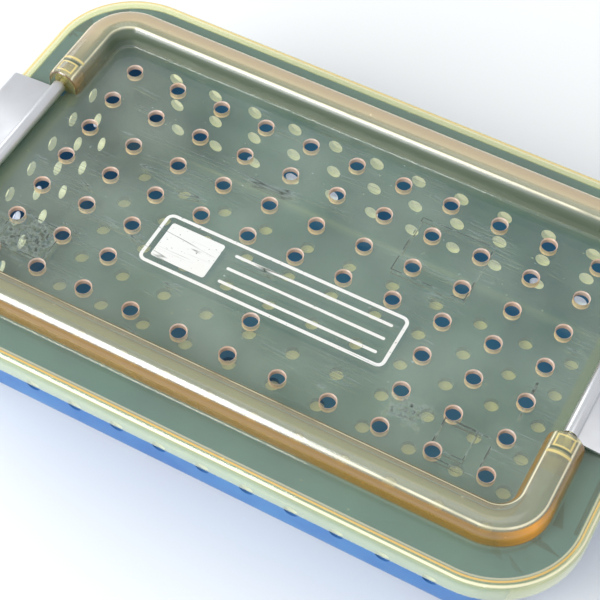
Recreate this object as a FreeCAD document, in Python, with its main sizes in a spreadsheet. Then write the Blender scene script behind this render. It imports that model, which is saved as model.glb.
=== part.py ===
"""Sterilization tray for surgical instruments.

A perforated blue tub with a wide flange carries a transparent amber lid. The
lid has a hollow rib round it, broken at both short ends, where a formed steel
latch turns on a pin held between the rib ends and hooks under the tub's lip.

Millimetres, Z up, X along the tray. The origin is the centre of the underside.
"""

import FreeCAD
import Part

import math
import os

import Sketcher
from FreeCAD import Vector

doc = FreeCAD.newDocument("InstrumentTray")

# Driving sizes

SIZES = {
    # Tub, measured inside at the flange
    "tub_half_length": 113.7,
    "tub_half_width": 66.7,
    "tub_depth": 59.6,
    "tub_corner": 13.7,
    "tub_draft": 2.5,
    "tub_wall": 2.4,
    "floor_thickness": 2.4,
    "heel_bevel": 4.2,
    "heel_slope": 45.0,
    # Flange and the lip turned down from it
    "flange_thickness": 2.4,
    "lip_thickness": 2.4,
    "lip_depth": 6.9,
    "lip_bevel_in": 1.2,
    "lip_bevel_up": 1.9,
    # Perforations of the tub
    "tub_hole": 5.6,
    "side_margin": 24.9,
    "end_margin": 23.8,
    "wall_row_pitch": 14.1,
    "wall_row_drop": 16.3,
    # Lid, by how far it reaches past the inside of the tub
    "lid_thickness": 2.4,
    "lid_overhang_x": 19.3,
    "lid_overhang_y": 18.8,
    "lid_corner": 33.0,
    "lid_bevel": 1.8,
    "skirt_thickness": 2.4,
    "skirt_depth": 9.3,
    "skirt_clearance": 0.4,
    "lid_hole": 5.9,
    "panel_margin_x": 18.15,
    "panel_margin_y": 17.375,
    # Hollow rib
    "rib_inset_x": 19.6,
    "rib_inset_y": 20.5,
    "rib_half_width": 6.6,
    "rib_height": 9.5,
    "rib_wall": 2.2,
    "rib_end_wall": 2.0,
    "rib_web": 1.4,
    "pin_cell": 6.6,
    "latch_gap": 1.4,
    # Latch
    "latch_half_width": 24.0,
    "strip_thickness": 1.1,
    "pin_height": 4.2,
    "pin_diameter": 2.8,
    "pin_clearance": 0.08,
    "plate_rest": 0.3,
    "leg_clearance": 0.4,
    "hook_grip": 1.2,
    "hook_gap": 0.7,
    "bend_round": 1.0,
    "roll_slit": 0.5,
    # Pin block
    "pin_grip": 5.2,
    "block_clearance": 0.1,
    "block_recess": 0.2,
    "block_end_gap": 0.3,
}

# Counts. The perforations and the rib's corners are many, so they have few sides

COLUMNS = 11
ROWS = 7
WALL_ROWS = 3
PLAIN_ROWS = 2
SIDE_COLUMNS = 3
TUB_HOLE_SIDES = 6
LID_HOLE_SIDES = 8
CORNER_RUNS = 4

sheet = doc.addObject("Spreadsheet::Sheet", "Sizes")
for row, (alias, number) in enumerate(SIZES.items(), start=1):
    sheet.set(f"A{row}", alias)
    sheet.set(f"B{row}", str(number))
    sheet.setAlias(f"B{row}", alias)
doc.recompute()


def sized(text):
    """Turn an expression in bare size names into one that reads the sheet."""
    words = text.replace("(", " ( ").replace(")", " ) ").split()
    named = " ".join(f"Sizes.{word}" if word in SIZES else word for word in words)
    return named.replace("tan (", "tan(")


def value(text):
    """Give the number that an expression in size names has now."""
    result = sheet.evalExpression(sized(text))
    return float(getattr(result, "Value", result))


# Levels and places that several pieces share, worked out from the sizes

FLANGE_TOP = "( floor_thickness + tub_depth )"
LID_TOP = f"( {FLANGE_TOP} + lid_thickness )"
SKIRT_BOTTOM = f"( {LID_TOP} - skirt_depth )"
LIP_BOTTOM = f"( {FLANGE_TOP} - lip_depth )"
LID_HALF_LENGTH = "( tub_half_length + lid_overhang_x )"
LID_HALF_WIDTH = "( tub_half_width + lid_overhang_y )"
LIP_INSET = "( skirt_thickness + skirt_clearance )"
LIP_HALF_LENGTH = f"( {LID_HALF_LENGTH} - {LIP_INSET} )"
LIP_HALF_WIDTH = f"( {LID_HALF_WIDTH} - {LIP_INSET} )"
LIP_CORNER = f"( lid_corner - {LIP_INSET} )"
RIB_X = f"( {LID_HALF_LENGTH} - rib_inset_x )"
RIB_Y = f"( {LID_HALF_WIDTH} - rib_inset_y )"
RIB_CORNER = "( lid_corner - ( rib_inset_x + rib_inset_y ) / 2 )"
RIB_END = "( latch_half_width + latch_gap )"
PIN_Z = f"( {LID_TOP} + pin_height )"
CELL_START = f"( {RIB_END} + rib_end_wall )"
CELL_END = f"( {CELL_START} + pin_cell )"
HOLLOW_START = f"( {CELL_END} + rib_web )"

# Patterns of holes: how far their outer rows stand apart, and their pitch

PANEL_SPREAD_X = f"( 2 * ( {RIB_X} - panel_margin_x ) )"
PANEL_SPREAD_Y = f"( 2 * ( {RIB_Y} - panel_margin_y ) )"
PANEL_PITCH_X = f"( {PANEL_SPREAD_X} / {COLUMNS - 1} )"
PANEL_PITCH_Y = f"( {PANEL_SPREAD_Y} / {ROWS - 1} )"
SIDE_SPREAD = "( 2 * ( tub_half_length - side_margin ) )"
END_SPREAD = "( 2 * ( tub_half_width - end_margin ) )"


# Helpers for bodies and sketches

def new_body(label):
    body = doc.addObject("PartDesign::Body", label)
    body.Label = label
    return body


def plane(body, role):
    return next(item for item in body.Origin.OriginFeatures if item.Role == role)


def new_sketch(body, name, role, offset=None):
    """Add a sketch on one of the body's own planes, moved along its normal."""
    sketch = body.newObject("Sketcher::SketchObject", name)
    sketch.AttachmentSupport = (plane(body, role), [""])
    sketch.MapMode = "FlatFace"
    if offset is not None:
        sketch.setExpression("AttachmentOffset.Base.z", sized(offset))
    return sketch


def drive(sketch, kind, *places, by):
    """Add a dimension to the sketch and bind it to an expression."""
    index = sketch.addConstraint(Sketcher.Constraint(kind, *places, value(by)))
    sketch.setExpression(f"Constraints[{index}]", sized(by))


def place_point(sketch, geometry, point, x, y):
    """Fix a point of the sketch at two coordinates given as expressions."""
    for kind, along, axis in (("DistanceX", x, -2), ("DistanceY", y, -1)):
        number = value(along)
        if abs(number) < 1e-9:
            sketch.addConstraint(Sketcher.Constraint("PointOnObject", geometry, point, axis))
        elif number > 0:
            drive(sketch, kind, -1, 1, geometry, point, by=along)
        else:
            drive(sketch, kind, geometry, point, -1, 1, by=f"0 - ( {along} )")


def sided(expression, side):
    return expression if side > 0 else f"0 - {expression}"


def polyline(sketch, corners):
    """Draw straight lines through corners given as pairs of expressions."""
    points = [Vector(value(x), value(y), 0) for x, y in corners]
    lines = [sketch.addGeometry(Part.LineSegment(a, b)) for a, b in zip(points, points[1:])]
    for line, following in zip(lines, lines[1:]):
        sketch.addConstraint(Sketcher.Constraint("Coincident", line, 2, following, 1))
    for line, (x, y) in zip(lines, corners):
        place_point(sketch, line, 1, x, y)
    return lines


def polygon(sketch, corners):
    """Draw a closed polygon through corners given as pairs of expressions."""
    lines = polyline(sketch, corners + corners[:1])
    sketch.addConstraint(Sketcher.Constraint("Coincident", lines[-1], 2, lines[0], 1))


def perforation(sketch, x, y, width, sides):
    """Draw a regular polygon as wide across its flats as a hole, round (x, y)."""
    reach = 0.5 / math.cos(math.pi / sides)
    turns = [(i + 0.5) * 2 * math.pi / sides for i in range(sides)]
    polygon(sketch, [(f"{x} + {width} * {reach * math.cos(turn):.7f}",
                      f"{y} + {width} * {reach * math.sin(turn):.7f}") for turn in turns])


def circle(sketch, x, y, diameter):
    """Draw a circle whose centre and diameter are expressions."""
    centre = Vector(value(x), value(y), 0)
    ring = sketch.addGeometry(Part.Circle(centre, Vector(0, 0, 1), value(diameter) / 2))
    drive(sketch, "Diameter", ring, by=diameter)
    place_point(sketch, ring, 3, x, y)


def arc(sketch, centre, radius, start, end):
    ring = Part.Circle(Vector(*centre, 0), Vector(0, 0, 1), radius)
    return sketch.addGeometry(Part.ArcOfCircle(ring, start, end))


def rounded_rectangle(sketch, half_x, half_y, corner):
    """Draw a rectangle with round corners, centred on the origin."""
    quarter = math.pi / 2
    x, y, r = value(half_x), value(half_y), value(corner)
    first = sketch.GeometryCount
    sketch.addGeometry(Part.LineSegment(Vector(r - x, -y, 0), Vector(x - r, -y, 0)))
    arc(sketch, (x - r, r - y), r, -quarter, 0)
    sketch.addGeometry(Part.LineSegment(Vector(x, r - y, 0), Vector(x, y - r, 0)))
    arc(sketch, (x - r, y - r), r, 0, quarter)
    sketch.addGeometry(Part.LineSegment(Vector(x - r, y, 0), Vector(r - x, y, 0)))
    arc(sketch, (r - x, y - r), r, quarter, 2 * quarter)
    sketch.addGeometry(Part.LineSegment(Vector(-x, y - r, 0), Vector(-x, r - y, 0)))
    arc(sketch, (r - x, r - y), r, 2 * quarter, 3 * quarter)
    bottom, right, top, left = first, first + 2, first + 4, first + 6
    for i in range(8):
        following = first + (i + 1) % 8
        sketch.addConstraint(Sketcher.Constraint("Tangent", first + i, 2, following, 1))
    for kind, line in (("Horizontal", bottom), ("Vertical", right),
                       ("Horizontal", top), ("Vertical", left)):
        sketch.addConstraint(Sketcher.Constraint(kind, line))
    for other in (3, 5, 7):
        sketch.addConstraint(Sketcher.Constraint("Equal", first + 1, first + other))
    drive(sketch, "Radius", first + 1, by=corner)
    drive(sketch, "DistanceX", -1, 1, right, 1, by=half_x)
    drive(sketch, "DistanceX", left, 1, -1, 1, by=half_x)
    drive(sketch, "DistanceY", bottom, 1, -1, 1, by=half_y)
    drive(sketch, "DistanceY", -1, 1, top, 1, by=half_y)


def arch(sketch, centre, half_width, foot, crown):
    """Draw an upright arch: two straight sides under a half circle."""
    x, w = value(centre), value(half_width)
    low, spring = value(foot), value(f"{crown} - {half_width}")
    first = sketch.GeometryCount
    sketch.addGeometry(Part.LineSegment(Vector(x - w, low, 0), Vector(x + w, low, 0)))
    sketch.addGeometry(Part.LineSegment(Vector(x + w, low, 0), Vector(x + w, spring, 0)))
    arc(sketch, (x, spring), w, 0, math.pi)
    sketch.addGeometry(Part.LineSegment(Vector(x - w, spring, 0), Vector(x - w, low, 0)))
    base, right, top, left = range(first, first + 4)
    sketch.addConstraint(Sketcher.Constraint("Coincident", base, 2, right, 1))
    sketch.addConstraint(Sketcher.Constraint("Coincident", left, 2, base, 1))
    sketch.addConstraint(Sketcher.Constraint("Tangent", right, 2, top, 1))
    sketch.addConstraint(Sketcher.Constraint("Tangent", top, 2, left, 1))
    sketch.addConstraint(Sketcher.Constraint("Horizontal", base))
    sketch.addConstraint(Sketcher.Constraint("Vertical", right))
    drive(sketch, "Radius", top, by=half_width)
    place_point(sketch, top, 3, centre, f"( {crown} - {half_width} )")
    drive(sketch, "DistanceY", -1, 1, base, 1, by=foot)


def vault(sketch, centre, half_width, foot, crown):
    """Draw an upright arch in flat faces: the top half is half an octagon."""
    side = math.tan(math.pi / 8)
    spring = f"{crown} - {half_width} * {1 - side:.7f}"
    edge = f"{half_width} * {side:.7f}"
    polygon(sketch, [
        (f"{centre} - {half_width}", foot), (f"{centre} + {half_width}", foot),
        (f"{centre} + {half_width}", spring), (f"{centre} + {edge}", crown),
        (f"{centre} - {edge}", crown), (f"{centre} - {half_width}", spring),
    ])


def rib_path(sketch, start):
    """Draw the front rib's centre line, from one end gap round to the other."""
    turns = [i * math.pi / 2 / CORNER_RUNS for i in range(CORNER_RUNS + 1)]
    corner = [(f"( {RIB_X} - {RIB_CORNER} * {1 - math.cos(turn):.7f} )",
               f"{RIB_CORNER} * {1 - math.sin(turn):.7f} - {RIB_Y}") for turn in turns]
    left = [(f"0 - {x}", y) for x, y in corner]
    ends = [(f"0 - {RIB_X}", f"0 - {start}"), (RIB_X, f"0 - {start}")]
    lines = polyline(sketch, ends[:1] + left + corner[::-1] + ends[1:])
    place_point(sketch, lines[-1], 2, *ends[1])


# Helpers for features

def pad(body, sketch, name, length, downwards=False, both_ways=False, taper=None):
    feature = body.newObject("PartDesign::Pad", name)
    feature.Profile = sketch
    feature.setExpression("Length", sized(length))
    feature.Reversed = downwards
    feature.Midplane = both_ways
    if taper is not None:
        feature.setExpression("TaperAngle", sized(taper))
    return grown(body, feature, 1)


def pocket(body, sketch, name, length=None, reverse=False, both_ways=False, taper=None):
    """Cut the sketch out of the body, through everything if no length is given."""
    feature = body.newObject("PartDesign::Pocket", name)
    feature.Profile = sketch
    if length is None:
        feature.Type = "ThroughAll"
    else:
        feature.setExpression("Length", sized(length))
    feature.Reversed = reverse
    feature.Midplane = both_ways
    if taper is not None:
        feature.setExpression("TaperAngle", sized(taper))
    return grown(body, feature, -1)


def pipe(body, profile, spine, name, cut=False):
    kind = "PartDesign::SubtractivePipe" if cut else "PartDesign::AdditivePipe"
    feature = body.newObject(kind, name)
    feature.Profile = profile
    feature.Spine = (spine, [])
    feature.Transition = "Right corner"
    return grown(body, feature, -1 if cut else 1)


def grown(body, feature, sense):
    """Recompute and check that the feature added or removed material as meant."""
    before = feature.BaseFeature.Shape.Volume if feature.BaseFeature else 0.0
    doc.recompute()
    if sense * (feature.Shape.Volume - before) <= 0:
        raise RuntimeError(f"{feature.Label} changed nothing, or the wrong way")
    return feature


def repeat(body, feature, name, first, second=None, mirror_role=None):
    """Repeat a feature along one axis or two; each is (role, length, count)."""
    if second is None:
        pattern = body.newObject("PartDesign::LinearPattern", name)
        pattern.Originals = [feature]
        set_direction(body, pattern, *first)
    else:
        pattern = body.newObject("PartDesign::MultiTransform", name)
        pattern.Originals = [feature]
        steps = []
        for number, direction in enumerate((first, second), start=1):
            step = body.newObject("PartDesign::LinearPattern", f"{name}Step{number}")
            set_direction(body, step, *direction)
            steps.append(step)
        if mirror_role is not None:
            step = body.newObject("PartDesign::Mirrored", f"{name}Mirror")
            step.MirrorPlane = (plane(body, mirror_role), [""])
            steps.append(step)
        pattern.Transformations = steps
    body.Tip = pattern
    doc.recompute()
    return pattern


def set_direction(body, pattern, role, length, count):
    pattern.Direction = (plane(body, role), [""])
    pattern.setExpression("Length", sized(length))
    pattern.Occurrences = count


def mirror(body, features, name, role):
    feature = body.newObject("PartDesign::Mirrored", name)
    feature.Originals = features
    feature.MirrorPlane = (plane(body, role), [""])
    body.Tip = feature
    doc.recompute()
    return feature


def edges_where(shape, test):
    """Name the edges of a shape whose midpoint and bounds pass a test."""
    return [f"Edge{i}" for i, edge in enumerate(shape.Edges, start=1) if test(edge.BoundBox)]


def fillet(body, name, radius, test):
    feature = body.newObject("PartDesign::Fillet", name)
    base = feature.BaseFeature
    feature.Base = (base, edges_where(base.Shape, test))
    feature.setExpression("Radius", sized(radius))
    doc.recompute()
    return feature


def chamfer(body, name, size, test):
    feature = body.newObject("PartDesign::Chamfer", name)
    base = feature.BaseFeature
    feature.Base = (base, edges_where(base.Shape, test))
    feature.setExpression("Size", sized(size))
    doc.recompute()
    return feature


def at_level(box, height, slack=1e-3):
    return abs(box.ZMin - height) < slack and abs(box.ZMax - height) < slack


# Tub

def make_base():
    """Mould the blue tub: drafted walls, perforations, flange and lip."""
    body = new_body("base")
    outline = new_sketch(body, "TubOutline", "XY_Plane", FLANGE_TOP)
    rounded_rectangle(outline, "tub_half_length + tub_wall", "tub_half_width + tub_wall",
                      "tub_corner + tub_wall")
    pad(body, outline, "TubBlock", FLANGE_TOP, downwards=True, taper="0 - tub_draft")
    chamfer(body, "TubHeel", f"heel_bevel + tub_wall * {2 - math.sqrt(2):.7f}",
            lambda box: at_level(box, 0))

    flange = new_sketch(body, "FlangeOutline", "XY_Plane", FLANGE_TOP)
    rounded_rectangle(flange, LIP_HALF_LENGTH, LIP_HALF_WIDTH, LIP_CORNER)
    pad(body, flange, "Flange", "flange_thickness", downwards=True)

    lip = new_sketch(body, "LipOutline", "XY_Plane", FLANGE_TOP)
    rounded_rectangle(lip, LIP_HALF_LENGTH, LIP_HALF_WIDTH, LIP_CORNER)
    rounded_rectangle(lip, f"{LIP_HALF_LENGTH} - lip_thickness",
                      f"{LIP_HALF_WIDTH} - lip_thickness", f"{LIP_CORNER} - lip_thickness")
    pad(body, lip, "Lip", "lip_depth", downwards=True)

    depth = "( tub_depth - heel_bevel )"
    cavity = new_sketch(body, "CavityOutline", "XY_Plane", FLANGE_TOP)
    rounded_rectangle(cavity, "tub_half_length", "tub_half_width", "tub_corner")
    pocket(body, cavity, "Cavity", depth, taper="0 - tub_draft")
    inset = f"{depth} * tan( tub_draft )"
    heel = new_sketch(body, "CavityHeelOutline", "XY_Plane", "floor_thickness + heel_bevel")
    rounded_rectangle(heel, f"tub_half_length - {inset}", f"tub_half_width - {inset}",
                      f"tub_corner - {inset}")
    pocket(body, heel, "CavityHeel", "heel_bevel", taper="0 - heel_slope")

    bevel_lip(body)
    perforate_tub(body)
    return body


def reaches_out(box, half_x, half_y):
    """Tell whether an edge lies on the outline of these half sizes."""
    far_x = max(abs(box.XMin), abs(box.XMax))
    far_y = max(abs(box.YMin), abs(box.YMax))
    return far_x > half_x - 1e-3 or far_y > half_y - 1e-3


def bevel_lip(body):
    """Bevel the lip's outer lower edge, where the latch hooks swing past."""
    low, half_x, half_y = value(LIP_BOTTOM), value(LIP_HALF_LENGTH), value(LIP_HALF_WIDTH)
    bevel = chamfer(body, "LipBevel", "lip_bevel_in",
                    lambda box: at_level(box, low) and reaches_out(box, half_x, half_y))
    bevel.ChamferType = "Two distances"
    bevel.setExpression("Size2", sized("lip_bevel_up"))
    doc.recompute()


def perforate_tub(body):
    """Pierce the floor, both long walls and both short walls."""
    rise = f"{WALL_ROWS - 1} * wall_row_pitch"
    lowest = f"{FLANGE_TOP} - wall_row_drop - {rise}"
    for name, role, axis, spread, count in (
        ("Side", "XZ_Plane", "X_Axis", SIDE_SPREAD, COLUMNS),
        ("End", "YZ_Plane", "Y_Axis", END_SPREAD, ROWS),
    ):
        hole = new_sketch(body, f"{name}Hole", role)
        perforation(hole, f"0 - {spread} / 2", lowest, "tub_hole", TUB_HOLE_SIDES)
        cut = pocket(body, hole, f"{name}HoleCut", both_ways=True)
        repeat(body, cut, f"{name}Holes", (axis, spread, count), ("Z_Axis", rise, WALL_ROWS))

    hole = new_sketch(body, "FloorHole", "XY_Plane")
    perforation(hole, f"0 - {PANEL_SPREAD_X} / 2", f"0 - {PANEL_SPREAD_Y} / 2", "tub_hole",
                TUB_HOLE_SIDES)
    cut = pocket(body, hole, "FloorHoleCut", "2 * floor_thickness", reverse=True)
    repeat(body, cut, "FloorHoles", ("X_Axis", PANEL_SPREAD_X, COLUMNS),
           ("Y_Axis", PANEL_SPREAD_Y, ROWS))


# Lid

def make_lid():
    """Mould the amber lid: panel, skirt, two hollow ribs and perforations."""
    body = new_body("lid")
    outline = new_sketch(body, "LidOutline", "XY_Plane", LID_TOP)
    rounded_rectangle(outline, LID_HALF_LENGTH, LID_HALF_WIDTH, "lid_corner")
    pad(body, outline, "LidBlock", "skirt_depth", downwards=True)
    top = value(LID_TOP)
    chamfer(body, "LidBevel", "lid_bevel", lambda box: at_level(box, top))

    recess = new_sketch(body, "RecessOutline", "XY_Plane", SKIRT_BOTTOM)
    rounded_rectangle(recess, f"{LID_HALF_LENGTH} - skirt_thickness",
                      f"{LID_HALF_WIDTH} - skirt_thickness", "lid_corner - skirt_thickness")
    pocket(body, recess, "Recess", "skirt_depth - lid_thickness", reverse=True)

    relief = new_sketch(body, "LatchRelief", "YZ_Plane")
    half, low = RIB_END, f"{SKIRT_BOTTOM} - lid_thickness"
    polygon(relief, [(f"0 - {half}", low), (half, low),
                     (half, f"{LID_TOP} - lid_thickness"),
                     (f"0 - {half}", f"{LID_TOP} - lid_thickness")])
    pocket(body, relief, "LatchReliefCut", both_ways=True)

    features = make_rib(body)
    mirror(body, features, "BackRib", "XZ_Plane")
    perforate_lid(body)
    return body


def make_rib(body):
    """Sweep the front rib and hollow it from below, in one long run and two cells."""
    middle = f"( {LID_TOP} - lid_thickness / 2 )"
    under = f"( {LID_TOP} - 2 * lid_thickness )"
    crown = f"( {LID_TOP} + rib_height )"
    inner = "( rib_half_width - rib_wall )"
    inner_crown = f"( {crown} - rib_wall )"

    line = new_sketch(body, "RibLine", "XY_Plane", LID_TOP)
    rib_path(line, RIB_END)
    section = new_sketch(body, "RibSection", "XZ_Plane", RIB_END)
    arch(section, f"0 - {RIB_X}", "rib_half_width", middle, crown)
    rib = pipe(body, section, line, "Rib")

    line = new_sketch(body, "HollowLine", "XY_Plane", LID_TOP)
    rib_path(line, HOLLOW_START)
    section = new_sketch(body, "HollowSection", "XZ_Plane", HOLLOW_START)
    vault(section, f"0 - {RIB_X}", inner, under, inner_crown)
    hollow = pipe(body, section, line, "Hollow", cut=True)

    cells = new_sketch(body, "CellSection", "XZ_Plane", CELL_START)
    for side in (f"0 - {RIB_X}", RIB_X):
        vault(cells, side, inner, under, inner_crown)
    cell = pocket(body, cells, "Cells", "pin_cell", reverse=True)

    slots = new_sketch(body, "PinSlot", "XZ_Plane", RIB_END)
    slot_half = "( pin_diameter / 2 + pin_clearance )"
    for side in (f"0 - {RIB_X}", RIB_X):
        arch(slots, side, slot_half, under, f"( {PIN_Z} + {slot_half} )")
    slot = pocket(body, slots, "PinSlots", "rib_end_wall", reverse=True)
    return [rib, hollow, cell, slot]


def perforate_lid(body):
    """Pierce the panel, leaving two rows plain in the middle but for one hole."""
    def hole(name, column, row):
        sketch = new_sketch(body, name, "XY_Plane", LID_TOP)
        perforation(sketch, f"{column} * {PANEL_PITCH_X} - {PANEL_SPREAD_X} / 2",
                    f"{row} * {PANEL_PITCH_Y} - {PANEL_SPREAD_Y} / 2", "lid_hole",
                    LID_HOLE_SIDES)
        return pocket(body, sketch, f"{name}Cut", "2 * lid_thickness")

    middle = COLUMNS - 2 * SIDE_COLUMNS
    back_rows = ROWS - 1 - PLAIN_ROWS
    hole("MiddleHole", COLUMNS // 2, 1)
    front = hole("FrontHole", SIDE_COLUMNS, 0)
    repeat(body, front, "FrontHoles", ("X_Axis", f"{middle - 1} * {PANEL_PITCH_X}", middle))
    back = hole("BackHole", SIDE_COLUMNS, ROWS - back_rows)
    repeat(body, back, "BackHoles", ("X_Axis", f"{middle - 1} * {PANEL_PITCH_X}", middle),
           ("Y_Axis", f"{back_rows - 1} * {PANEL_PITCH_Y}", back_rows))
    side = hole("OuterHole", 0, 0)
    repeat(body, side, "OuterHoles",
           ("X_Axis", f"{SIDE_COLUMNS - 1} * {PANEL_PITCH_X}", SIDE_COLUMNS),
           ("Y_Axis", PANEL_SPREAD_Y, ROWS), mirror_role="YZ_Plane")


# Latches, pins and the blocks that hold the pins

ROLL_BORE = "( pin_diameter / 2 + pin_clearance )"
ROLL_RADIUS = f"( {ROLL_BORE} + strip_thickness )"
LEG_INSIDE = f"( {LID_HALF_LENGTH} + leg_clearance )"
LEG_OUTSIDE = f"( {LEG_INSIDE} + strip_thickness )"
PLATE_UNDER = f"( {LID_TOP} + plate_rest )"
HOOK_TOP = f"( {LIP_BOTTOM} - hook_gap )"
HOOK_TIP = f"( {LIP_HALF_LENGTH} - hook_grip )"
PIN_HALF = f"( {CELL_START} + pin_grip )"


def make_latch(label, side):
    """Form one latch from strip: a roll for the pin, a plate, a leg and a hook."""
    body = new_body(label)
    strip = new_sketch(body, "StripSection", "XZ_Plane")
    corners = [
        (RIB_X, f"{PIN_Z} - {ROLL_RADIUS}"),
        (LEG_INSIDE, PLATE_UNDER),
        (LEG_INSIDE, HOOK_TOP),
        (HOOK_TIP, HOOK_TOP),
        (HOOK_TIP, f"{HOOK_TOP} - strip_thickness"),
        (LEG_OUTSIDE, f"{HOOK_TOP} - strip_thickness"),
        (LEG_OUTSIDE, f"{PLATE_UNDER} + strip_thickness"),
        (RIB_X, f"{PIN_Z} - {ROLL_BORE}"),
    ]
    polygon(strip, [(sided(x, side), z) for x, z in corners])
    pad(body, strip, "Strip", "2 * latch_half_width", both_ways=True)
    round_bends(body, side)

    roll = new_sketch(body, "RollSection", "XZ_Plane")
    circle(roll, sided(RIB_X, side), PIN_Z, f"2 * {ROLL_RADIUS}")
    pad(body, roll, "Roll", "2 * latch_half_width", both_ways=True)
    bore = new_sketch(body, "BoreSection", "XZ_Plane")
    circle(bore, sided(RIB_X, side), PIN_Z, f"2 * {ROLL_BORE}")
    pocket(body, bore, "Bore", both_ways=True)

    slit = new_sketch(body, "SlitSection", "XZ_Plane")
    near, far = f"( {RIB_X} + {ROLL_BORE} / 2 )", f"( {RIB_X} + 2 * {ROLL_RADIUS} )"
    low, high = f"{PIN_Z} - {ROLL_BORE}", f"{PIN_Z} - {ROLL_BORE} + roll_slit"
    corners = [(near, low), (far, low), (far, high), (near, high)]
    polygon(slit, [(sided(x, side), z) for x, z in corners])
    pocket(body, slit, "Slit", both_ways=True)
    return body


def round_bends(body, side):
    """Round the inside and outside of the plate's bend and the hook's bend."""
    inner, outer = value(LEG_INSIDE), value(LEG_OUTSIDE)
    plate, hook = value(PLATE_UNDER), value(HOOK_TOP)
    strip = value("strip_thickness")
    for name, radius, x, heights in (
        ("InnerBends", "bend_round", inner, (plate, hook)),
        ("OuterBends", "bend_round + strip_thickness", outer, (plate + strip, hook - strip)),
    ):
        fillet(body, name, radius, lambda box: any(
            at_level(box, z) and abs(side * box.Center.x - x) < 1e-3 for z in heights))


def make_pin(label, side):
    """Cut one hinge pin from steel rod."""
    body = new_body(label)
    section = new_sketch(body, "PinSection", "XZ_Plane")
    circle(section, sided(RIB_X, side), PIN_Z, "pin_diameter")
    pad(body, section, "Pin", f"2 * {PIN_HALF}", both_ways=True)
    return body


def make_block(label, side, end):
    """Mould one block that fills a cell under the rib and holds a pin's end."""
    body = new_body(label)
    outset = f"( {CELL_START} + block_clearance )"
    length = "( pin_cell - 2 * block_clearance )"
    x = sided(RIB_X, side)
    # The plane faces the front, so its offset is positive towards the front
    section = new_sketch(body, "BlockSection", "XZ_Plane", sided(outset, -end))
    vault(section, x, "( rib_half_width - rib_wall - block_clearance )",
          f"( {LID_TOP} - lid_thickness + block_recess )",
          f"( {LID_TOP} + rib_height - rib_wall - block_clearance )")
    pad(body, section, "Block", length, downwards=end > 0)
    bore = new_sketch(body, "BoreSection", "XZ_Plane", sided(outset, -end))
    circle(bore, x, PIN_Z, f"2 * {ROLL_BORE}")
    pocket(body, bore, "Bore", "pin_grip + block_end_gap", reverse=end < 0)
    return body


# Check and write

def write_parts(bodies):
    """Stop if anything failed, then write each body's solid under its label."""
    doc.recompute()
    for item in doc.Objects:
        if "Invalid" in item.State or "Error" in item.State:
            raise RuntimeError(f"{item.Label} failed: {item.State}")
    os.makedirs("parts", exist_ok=True)
    for body in bodies:
        shape = body.Shape
        if shape.isNull() or not shape.isValid() or not shape.Solids:
            raise RuntimeError(f"{body.Label} has no valid solid")
        shape.exportStep(f"parts/{body.Label}.step")
        print(body.Label, len(shape.Solids), round(shape.Volume, 1))


LATCHES = {"left": -1, "right": 1}
ENDS = {"front": -1, "back": 1}

pieces = [make_base(), make_lid()]
pieces += [make_latch(f"latch_{name}", side) for name, side in LATCHES.items()]
pieces += [make_pin(f"hinge_pin_{name}", side) for name, side in LATCHES.items()]
for end_name, end in ENDS.items():
    for name, side in LATCHES.items():
        pieces.append(make_block(f"pin_block_{end_name}_{name}", side, end))
write_parts(pieces)
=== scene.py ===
"""Looks of the sterilization tray: a blue perforated tub under a clear amber lid.

Metres, Z up, X along the tray. The lid, tub, latches, pins and pin blocks are
rebuilt here with round holes and soft edges, each in the place of its solid.
"""

import math

import bmesh
import bpy
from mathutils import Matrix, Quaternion, Vector


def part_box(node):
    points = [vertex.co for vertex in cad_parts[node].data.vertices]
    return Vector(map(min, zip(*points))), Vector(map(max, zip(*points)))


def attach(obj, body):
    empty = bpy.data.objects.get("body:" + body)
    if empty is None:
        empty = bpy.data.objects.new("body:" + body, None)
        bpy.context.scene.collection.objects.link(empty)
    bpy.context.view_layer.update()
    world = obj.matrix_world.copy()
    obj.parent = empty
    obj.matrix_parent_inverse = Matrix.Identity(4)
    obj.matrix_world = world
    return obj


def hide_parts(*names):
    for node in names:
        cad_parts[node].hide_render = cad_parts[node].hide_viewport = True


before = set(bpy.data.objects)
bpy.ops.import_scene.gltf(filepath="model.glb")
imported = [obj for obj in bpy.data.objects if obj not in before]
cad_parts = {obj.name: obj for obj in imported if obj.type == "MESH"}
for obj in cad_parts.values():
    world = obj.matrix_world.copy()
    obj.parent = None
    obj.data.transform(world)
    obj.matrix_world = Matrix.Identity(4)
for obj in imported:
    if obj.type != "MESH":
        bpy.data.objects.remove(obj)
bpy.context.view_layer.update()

MM = 0.001

# Levels and outlines, as in the solids. An outline is half length, half width and corner

BASE_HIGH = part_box("base")[1]
LID_LOW, LID_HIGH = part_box("lid")
FLANGE_TOP = BASE_HIGH.z
PLATE = 2.4 * MM
LID_TOP = FLANGE_TOP + PLATE
SKIRT_BOTTOM = LID_LOW.z
LID_CORNER = 33 * MM
LID_OUTLINE = (LID_HIGH.x, LID_HIGH.y, LID_CORNER)
LIP_INSET = LID_HIGH.x - BASE_HIGH.x
LIP_OUTLINE = (BASE_HIGH.x, BASE_HIGH.y, LID_CORNER - LIP_INSET)
LIP_BOTTOM = FLANGE_TOP - 6.9 * MM
TUB_OUTLINE = (113.7 * MM, 66.7 * MM, 13.7 * MM)
TUB_DRAFT = math.radians(2.5)
HEEL = 6 * MM
TUB_EDGE = 0.5 * MM
LIP_BEVEL_IN, LIP_BEVEL_UP = 1.2 * MM, 1.9 * MM
LID_FILLET = 1.2 * MM
LID_EDGE = 2.9 * MM
SKIRT_EDGE = 0.6 * MM

# Perforations

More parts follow.
